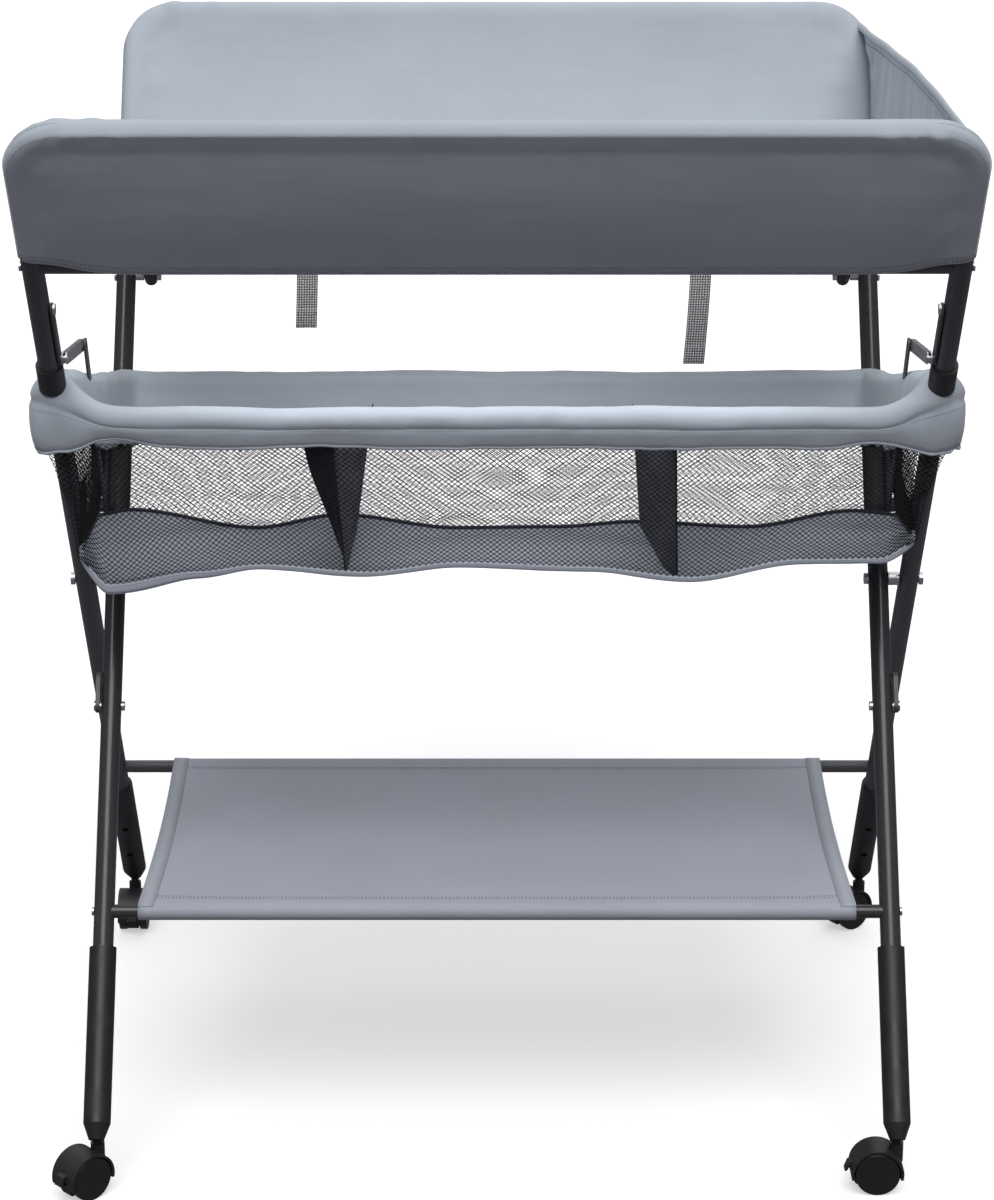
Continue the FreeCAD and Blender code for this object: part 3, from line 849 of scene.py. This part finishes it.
# Heights of the basket floor's wavy front and rear edges, from -X to +X
FRONT_EDGE = [(-0.385, 0.556), (-0.352, 0.530), (-0.270, 0.543), (-0.215, 0.550), (-0.120, 0.543),
              (-0.035, 0.552), (0.080, 0.548), (0.175, 0.538), (0.275, 0.555), (0.345, 0.556),
              (0.385, 0.571)]
REAR_EDGE = [(-0.375, 0.548), (-0.350, 0.551), (-0.230, 0.533), (-0.150, 0.546), (-0.040, 0.533),
             (0.060, 0.534), (0.130, 0.539), (0.240, 0.534), (0.340, 0.550), (0.375, 0.548)]

# The rim's section: outwards from its line, and up, in metres, from the outer hem over the top
RIM_SECTION = [(0.0112, -0.0205), (0.0133, -0.0140), (0.0142, -0.0075), (0.0143, -0.0044),
               (0.0119, -0.0028), (0.0142, -0.0012), (0.0140, 0.0030), (0.0122, 0.0076),
               (0.0082, 0.0114), (0.0030, 0.0135), (-0.0026, 0.0135), (-0.0078, 0.0112),
               (-0.0115, 0.0066), (-0.0130, 0.0005), (-0.0126, -0.0070), (-0.0115, -0.0135),
               (-0.0106, -0.0180)]
RIM_R = 0.0135


def rim_line():
    """The middle of the basket's rim: round the front rail, the sides and the rear rail."""
    front_x, rear_x, corner = 0.3965, 0.366, 0.020
    front_y, rear_y = FRONT_RAIL[0], REAR_RAIL[0]
    quarter = []
    for a in np.linspace(0, math.pi / 2, 9):
        quarter.append((front_x - corner + corner * math.sin(a),
                        front_y + corner - corner * math.cos(a)))
    for a in np.linspace(0, math.pi / 2, 9):
        quarter.append((rear_x - corner + corner * math.cos(a),
                        rear_y - corner + corner * math.sin(a)))
    points = quarter + [(-x, y) for x, y in reversed(quarter)]
    points = [Vector((x, y, mix(FRONT_RAIL[1], REAR_RAIL[1], (y - front_y) / (rear_y - front_y))))
              for x, y in points]
    return resample(points + points[:1], 0.0052)[:-1]


def hump(value, middle, width):
    """A smooth bump that is 1 at middle."""
    return math.exp(-((value - middle) / width) ** 2)


def rim_section(i, point, out):
    """The rim's section at one place: bigger and gathered at the front corners, where it climbs
    round the legs, and hanging lower inside along the rear."""
    x, y = point.x, point.y
    front = smooth(0.02, -0.12, y)
    near = hump(abs(x), 0.392, 0.022) * hump(y, -0.145, 0.030)
    rise = 0.029 * hump(abs(x), 0.396, 0.030) * mix(0.35, 1.0, smooth(0.09, -0.13, y))
    beside = smooth(0.30, 0.36, abs(x)) * (1 - smooth(-0.13, -0.15, y))
    rear_corner = hump(abs(x), 0.362, 0.016) * hump(y, 0.106, 0.020)
    size = mix(0.80, 1.0, front) * (1 + 0.42 * near + 0.10 * rear_corner)
    pinch = near * (0.0030 * math.sin(i * 1.35) + 0.0018 * math.sin(i * 2.3 + 1))
    pinch += beside * 0.0016 * math.sin(i * 0.9 + x * 5) * (1 - near)
    hem_lift = 0.0022 * rough_noise(x, y, 0, 9, 8)
    hem_lift += 0.008 * front * (hump(x, -0.343, 0.03) + 0.8 * hump(x, 0.335, 0.03))
    top_lift = 0.0014 * rough_noise(x, y, 0, 13, 21)
    row = []
    for k, (n, up) in enumerate(RIM_SECTION):
        low = max(-up, 0) / 0.02
        soft = 0.0016 * rough_noise(x * 0.6, y * 0.6, up * 3, 17, 2)
        soft += (0.0007 * rough_noise(x, y, up * 1.5, 60, 6)
                 + near * 0.0034 * rough_noise(x, y, up, 42, 9))
        folds = soft + pinch * (0.4 + 0.6 * math.cos(k * 1.1 + i * 0.2))
        flare = near * (0.30 * smooth(0.004, -0.008, up) - 0.20 * smooth(-0.004, 0.010, up))
        spread = size + (flare if n > 0 else 0.0) + folds / RIM_R
        inner_drop = 0.036 * (1 - front) * smooth(-0.006, -0.018, up) if n < 0 else 0.0
        slant = 0.695 * inner_drop * smooth(0.05, 0.10, y)
        climb = rise * (1 - low) * (1 if up > -0.005 else 0.45)
        height = up * mix(spread, 1.0, 0.35) * (1 - 0.28 * near * low) - inner_drop
        height += hem_lift * low + climb + top_lift * (1 - low) + 0.002 * near * up / math.hypot(n, up)
        row.append(point + out * (n * spread) + Vector((0, -slant, height)))
    return row


def basket_rim():
    """The padded roll round the basket's mouth, with its hem, cord edge and seam."""
    path = rim_line()
    rows = []
    for i, point in enumerate(path):
        along = (path[(i + 1) % len(path)] - path[i - 1]).normalized()
        rows.append(rim_section(i, point, Vector((along.y, -along.x, 0)).normalized()))
    rim = cloth_grid("basket_rim", [list(line) for line in zip(*rows)], closed=True)
    paint(rim, FABRIC)
    smoothing = rim.modifiers.new("Subdivision", "SUBSURF")
    smoothing.levels = smoothing.render_levels = 1
    bake(rim)
    thicken(rim, 0.0013)
    hem_line = [row[0].lerp(row[1], 0.55) for row in rows]
    seam_line = [row[3] for row in rows]
    trims = [stitches(line + line[:1], lambda p: Vector((p.x * 0.25, p.y + 0.02, 0)), lift=lift)
             for line, lift in ((hem_line, 0.0012), (seam_line, 0.0004))]
    edge = tube_mesh("edge", [row[0] for row in rows], 0.0016, closed=True)
    paint(edge, FABRIC)
    rim = join([rim] + trims + [edge], "basket_rim")
    fold(rim)
    around = lengths(path + path[:1])[-1]
    section = sum(math.dist(a, b) for a, b in zip(RIM_SECTION, RIM_SECTION[1:]))


def floor_at(x, v):
    """A place on the basket floor: across at x, and v from its front edge to its rear one."""
    bend = 0.030
    corner = min(max(abs(x) - (FLOOR_HALF - bend), 0.0) / bend, 1.0)
    turn = (1 - math.sqrt(1 - corner ** 2)) * bend
    y = mix(FLOOR_FRONT_Y, FLOOR_REAR_Y, v)
    y += turn * (1.0 if v < 0.5 else -0.4) * abs(2 * v - 1) ** 3
    z = mix(curve_through(FRONT_EDGE, x), curve_through(REAR_EDGE, x), v)
    z -= 0.007 * math.sin(math.pi * v) * (1 - abs(x / FLOOR_HALF) ** 4)
    z += 0.0030 * rough_noise(x, y, 0, 11, 3) * math.sin(math.pi * v)
    return Vector((x, y, z))


def floor_point(u, v):
    """The same place by u from -X to +X, with closer steps towards both ends."""
    return floor_at(FLOOR_HALF * math.sin((2 * u - 1) * 1.5) / math.sin(1.5), v)


def binding_ring(p):
    """The binding's section at one place of the floor's edge: taller at the front corners."""
    out = p - Vector((p.x * 0.9, mix(p.y, -0.06, 0.9), p.z))
    out.normalize()
    corners = 0.0040 * smooth(-0.22, -0.33, p.x) + 0.0030 * smooth(0.33, 0.385, p.x)
    tall = 0.0028 + smooth(-0.05, -0.13, p.y) * corners + 0.0004 * rough_noise(p.x, p.y, 0, 30)
    section = [(-0.0012, tall), (0.0016, tall), (0.0026, tall * 0.3), (0.0024, -tall * 0.5),
               (0.0008, -tall), (-0.0012, -tall * 0.9)]
    return [(p + out * n + UP * up, up) for n, up in section]


def basket_floor():
    """The wavy floor of the basket with its pale binding and the dark piping inside."""
    sheet = cloth_grid("basket_floor_cloth", grid_rows(110, 26, floor_point))
    finish_cloth(sheet, HEM_FABRIC, 0.0014)
    rim = [floor_point(u, 0) for u in np.linspace(0, 1, 150)]
    rim += [floor_point(1, v) for v in np.linspace(0, 1, 40)[1:]]
    rim += [floor_point(u, 1) for u in np.linspace(1, 0, 150)[1:]]
    rim += [floor_point(0, v) for v in np.linspace(1, 0, 40)[1:-1]]
    rings = [binding_ring(p) for p in rim]
    verts = [spot for ring in rings for spot, up in ring]
    uvs = [(run, up) for run, ring in zip(lengths(rim), rings) for spot, up in ring]
    faces = [face[:1] + face[:0:-1] for face in ring_faces(len(rings), len(rings[0]), closed=True)]
    binding = new_object("binding", verts, faces, uvs)
    paint(binding, BINDING)

    def outwards(p):
        return Vector((p.x * 0.1, p.y + 0.06, 0)).normalized()

    seam = stitches([p + outwards(p) * 0.0024 + UP * 0.0012 for p in rim], outwards)
    edge = [floor_point(0, v) for v in np.linspace(0.1, 1, 30)]
    edge += [floor_point(u, 1) for u in np.linspace(0, 1, 120)[1:]]
    edge += [floor_point(1, v) for v in np.linspace(1, 0.1, 30)[1:]]
    piping = tube_mesh("piping", [p + UP * 0.0030 for p in edge], 0.0019)
    paint(piping, NAVY)
    sheet = join([sheet, binding, piping, seam], "basket_floor_cloth")
    fold(sheet)
    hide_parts("basket_floor")


# The nets' diamonds, wide and tall: the side nets are drawn together, so theirs start wider
CELL = (0.0058, 0.0046)
SIDE_CELL = (0.0105, 0.0060)


def net(name, surface, width, height, node, cell, thread):
    """A knotted net: diamond holes between real threads, laid over surface(u, v)."""
    across = max(int(round(width / cell[0])) * 2, 4)
    down = max(int(round(height / cell[1])) * 2, 4)
    index, verts, uvs = {}, [], []

    def corner(i, j):
        if (i, j) not in index:
            index[(i, j)] = len(verts)
            verts.append(surface(i / across, j / down))
            uvs.append((i / across * width, j / down * height))
        return index[(i, j)]

    faces = []
    for j in range(down + 1):
        for i in range(across + 1):
            if (i + j) % 2 == 0:
                continue
            ring = [corner(a, b) for a, b in ((i - 1, j), (i, j - 1), (i + 1, j), (i, j + 1))
                    if 0 <= a <= across and 0 <= b <= down]
            if len(ring) >= 3:
                faces.append(ring)
    piece = new_object(name, verts, faces, uvs)
    paint(piece, NET)
    wires = piece.modifiers.new("Wireframe", "WIREFRAME")
    wires.thickness = thread
    wires.use_even_offset = False
    bake(piece)
    fold(piece)
    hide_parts(node)


def slack(x, z, v, amount, seed):
    """How far a net stands off its plane: loose folds, none at its sewn edges."""
    hold = math.sin(math.pi * min(max(v, 0), 1))
    wave = rough_noise(x, 0, z, 6.5, seed) * 1.2 + rough_noise(x, 0, z * 2, 14, seed + 5) * 0.5
    return amount * hold * wave


def front_net(u, v):
    """From the rim's front hem down to the floor's wavy front edge."""
    x_top, x_low, y_top, z_top = 0.4055, 0.3815, -0.1668, 0.6712
    side = 2 * u - 1
    x, low_x = side * mix(x_top, x_low, v), side * x_low
    corner = smooth(0.03, 0.0, x_top - abs(side * x_top))
    top = Vector((x, y_top + 0.006 * corner, z_top))
    low = Vector((low_x, FLOOR_FRONT_Y - 0.001 + 0.009 * corner,
                  curve_through(FRONT_EDGE, low_x) + 0.001))
    p = top.lerp(low, v)
    p.y += slack(x, p.z, v, 0.006, 2.0) - 0.005 * math.sin(math.pi * v)
    p.z += 0.0035 * rough_noise(x, 0, v, 8, 9.0) * math.sin(math.pi * v)
    return p


def side_net(sign):
    """One end of the basket: from under the rim, front to rear, down to the floor's end."""
    under_rim = [(0.4055, -0.1608, 0.6712), (0.392, -0.1530, 0.6700), (0.3826, -0.136, 0.6690),
                 (0.3815, -0.06, 0.664), (0.3800, 0.02, 0.655), (0.3785, 0.088, 0.645)]
    under_rim = resample(under_rim, 0.004)
    reach = len(under_rim) - 1
    leg_side, front_y = 0.3826, -0.135

    def surface(u, v):
        k = min(int(u * reach), reach - 1)
        top = under_rim[k].lerp(under_rim[k + 1], u * reach - k)
        low = floor_point(1.0 if sign > 0 else 0.0, u)
        p = top.lerp(Vector((abs(low.x), low.y, low.z + 0.001)), v)
        p.x -= 0.003 * math.sin(math.pi * v) + slack(p.y, p.z, v, 0.003, 4.0 + sign)
        p.x = min(p.x, leg_side) if p.y > front_y else p.x
        return Vector((sign * p.x, p.y, p.z))

    return surface


def rear_net(u, v):
    """From the rear rail, between the inner legs, down to the floor's rear edge."""
    half, off_legs, top_s = 0.3525, -0.0085, 0.146
    x = (2 * u - 1) * half
    p = on_inner(x, off_legs, top_s).lerp(floor_at(x, 1.0) + UP * 0.001, v)
    p.y += slack(x, p.z, v, 0.005, 12.0) - 0.004 * math.sin(math.pi * v)
    return p


def divider(name, node, front_top, rear_top, front_low, rear_low, wing):
    """A cloth partition from the front net to the rear one, sagging along its top."""
    columns, levels = 44, 26

    def place(u, v):
        x = mix(mix(front_top, front_low, v), mix(rear_top, rear_low, v), u)
        y = mix(mix(-0.160, -0.1445, v), mix(0.088, 0.014, v), u)
        top = mix(0.6745, 0.6400, u) - 0.016 * math.sin(math.pi * u)
        low = floor_at(x, (y - FLOOR_FRONT_Y) / (FLOOR_REAR_Y - FLOOR_FRONT_Y)).z + 0.0012
        x += 0.0045 * rough_noise(x, y, v, 9, 1) * math.sin(math.pi * u)
        return Vector((x, y, mix(top, low, v)))

    def wing_place(t, v):
        wide = wing * max(1 - v / 0.92, 0.0) ** 0.75 * (1 + 0.12 * math.sin(6 * v))
        x = mix(front_top, front_low, v)
        z = mix(0.6735, curve_through(FRONT_EDGE, x) + 0.002, v)
        y = mix(-0.1610, -0.1455, v) + 0.010 * t + 0.003 * math.sin(3 * t)
        return Vector((x - wide * t, y, z))

    rows = grid_rows(columns, levels, place)
    sheet = cloth_grid(name, rows)
    parts = [sheet]
    if wing:
        parts.append(cloth_grid("gusset", grid_rows(6, levels, wing_place)))
    for part in parts:
        finish_cloth(part, NAVY, 0.0012)
    parts.append(stitches([row[1] + Vector((0.0008, 0, 0)) for row in rows], Vector((1, 0, 0))))
    for way in (-1, 1):
        hem = [p + Vector((way * 0.0006, 0, -0.004)) for p in rows[0]]
        parts.append(stitches(hem, Vector((way, 0, 0))))
    sheet = join(parts, name)
    fold(sheet)
    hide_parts(node)


def press_stud(centre, out):
    """A small domed cap with a dished middle, facing outwards."""
    profile = [(0.0048, 0.0), (0.0046, 0.0009), (0.0036, 0.0013), (0.0030, 0.0008), (0.0008, 0.0007)]
    sides = 24
    across = Vector((1, 0, 0))
    up = out.cross(across).normalized()
    verts = []
    for r, lift in profile:
        for k in range(sides):
            a = 2 * math.pi * k / sides
            verts.append(centre + (across * math.cos(a) + up * math.sin(a)) * r + out * lift)
    faces = ring_faces(len(profile), sides)
    faces.append(tuple(range((len(profile) - 1) * sides, len(profile) * sides)))
    return paint(new_object("stud", verts, faces, [(0, 0)] * len(verts)), ZINC)


def leg_tab(name, sign):
    """A navy tab that wraps the inner leg and closes on itself with two press studs."""
    wrap, high, low, levels = 0.0104, 0.178, 0.066, 24
    section = [(wrap * math.cos(a), wrap * math.sin(a)) for a in np.radians(np.linspace(200, 0, 16))]
    flap_from = len(section)
    section += [(0.0125, -0.0022), (0.0150, -0.0030), (0.0190, -0.0033), (0.0265, -0.0030)]
    rows = []
    for j in range(levels + 1):
        t = j / levels
        row = []
        for k, (x, y) in enumerate(section):
            free = k >= flap_from
            loose = 0.0010 * rough_noise(x * 30, t * 3, 0, 1, 2 + sign) * free
            reach = 1 + 0.06 * math.sin(5 * t) * free
            row.append(on_inner(sign * (INNER_X + x * reach), y + loose, mix(high, low, t)))
        rows.append(row)
    tab = cloth_grid(name, rows)
    finish_cloth(tab, NAVY, 0.0016)
    out = on_inner(0, -1, 0) - on_inner(0, 0, 0)
    trims = [press_stud(on_inner(sign * (INNER_X + 0.0175), -0.0044, s), out) for s in (0.163, 0.083)]
    for x, y in ((0.0245, -0.0040), (0.0120, -0.0034)):
        line = [on_inner(sign * (INNER_X + x), y, s) for s in np.linspace(0.175, 0.069, 30)]
        trims.append(stitches(line, out))
    tab = join([tab] + trims, name)
    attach(tab, INNER)


basket_rim()
basket_floor()
net("basket_net_front", front_net, 0.787, 0.126, "basket_front_panel", CELL, 0.0011)
net("basket_net_rear", rear_net, 0.705, 0.115, "basket_rear_panel", CELL, 0.0008)
net("basket_net_left", side_net(-1), 0.215, 0.115, "basket_side_left", SIDE_CELL, 0.0010)
net("basket_net_right", side_net(1), 0.215, 0.105, "basket_side_right", SIDE_CELL, 0.0010)
divider("basket_divider_left_cloth", "basket_divider_left", -0.148, -0.120, -0.138, -0.133, 0.026)
divider("basket_divider_right_cloth", "basket_divider_right", 0.160, 0.131, 0.164, 0.137, 0.0)
leg_tab("leg_tab_left", -1)
leg_tab("leg_tab_right", 1)


# ------------------------------------------------- stage, lights, camera

def studio_floor():
    """A wide pale floor, which lights nothing, so that the table's undersides stay dark."""
    verts = [(-14, -14, 0), (14, -14, 0), (14, 14, 0), (-14, 14, 0)]
    floor = new_object("studio_floor", verts, [(0, 1, 2, 3)], [v[:2] for v in verts])
    made, tree, shader = material("studio_paper", (0.55, 0.55, 0.55), 0.9,
                                  Emission_Color=(1, 1, 1, 1), Emission_Strength=0.52)
    tinted(tree, shader, noise_node(tree, 3.0, 2.0), (0.54, 0.54, 0.54), (0.56, 0.56, 0.56))
    paint(floor, made)
    floor.visible_diffuse = False
    floor.visible_glossy = False


def soft_sun(name, toward, power, spread):
    data = bpy.data.lights.new(name, "SUN")
    data.energy = power
    data.angle = math.radians(spread)
    lamp = bpy.data.objects.new(name, data)
    lamp.rotation_euler = Vector(toward).to_track_quat("-Z", "Y").to_euler()
    scene.collection.objects.link(lamp)


def under_tray_light():
    """Fills the basket, which the tray shades from the lights above."""
    data = bpy.data.lights.new("basket_fill", "AREA")
    data.shape = "RECTANGLE"
    data.size, data.size_y = 0.66, 0.24
    data.energy = 1.5
    lamp = bpy.data.objects.new("basket_fill", data)
    lamp.location = (0.0, -0.09, 0.835)
    lamp.rotation_euler = (math.radians(18), 0.0, 0.0)
    lamp.visible_camera = False
    lamp.visible_glossy = False
    scene.collection.objects.link(lamp)


def studio_world():
    """Dim light from below and the sides, more from above, and a white surround."""
    world = bpy.data.worlds.new("studio")
    world.use_nodes = True
    tree = world.node_tree
    place = tree.nodes.new("ShaderNodeTexCoord")
    split = tree.nodes.new("ShaderNodeSeparateXYZ")
    ramp = tree.nodes.new("ShaderNodeValToRGB")
    ramp.color_ramp.elements[0].position = 0.0
    ramp.color_ramp.elements[0].color = (0.165, 0.155, 0.170, 1)
    ramp.color_ramp.elements[1].position = 0.8
    ramp.color_ramp.elements[1].color = (0.36, 0.37, 0.385, 1)
    tree.links.new(place.outputs["Generated"], split.inputs["Vector"])
    tree.links.new(split.outputs["Z"], ramp.inputs["Fac"])
    dim = tree.nodes["Background"]
    tree.links.new(ramp.outputs["Color"], dim.inputs["Color"])
    white = tree.nodes.new("ShaderNodeBackground")
    white.inputs["Color"].default_value = (0.96, 0.96, 0.96, 1)
    seen = tree.nodes.new("ShaderNodeLightPath")
    both = tree.nodes.new("ShaderNodeMixShader")
    tree.links.new(seen.outputs["Is Camera Ray"], both.inputs["Fac"])
    tree.links.new(dim.outputs["Background"], both.inputs[1])
    tree.links.new(white.outputs["Background"], both.inputs[2])
    tree.links.new(both.outputs["Shader"], tree.nodes["World Output"].inputs["Surface"])
    scene.world = world


studio_floor()
studio_world()
soft_sun("key_sun", (0.0, 0.50, -0.86), 2.45, 46.0)
soft_sun("back_sun", (-0.15, -0.62, -0.77), 0.75, 60.0)
under_tray_light()
scene.view_settings.view_transform = "Standard"

camera_data = bpy.data.cameras.new("camera")
camera_data.sensor_fit = "HORIZONTAL"
camera_data.sensor_width = 36.0
camera_data.lens = 116.4
camera = bpy.data.objects.new("camera", camera_data)
camera.location = (0.0, -2.925, 1.445)
camera.rotation_euler = (math.radians(71.55), 0.0, 0.0)
scene.collection.objects.link(camera)
scene.camera = camera
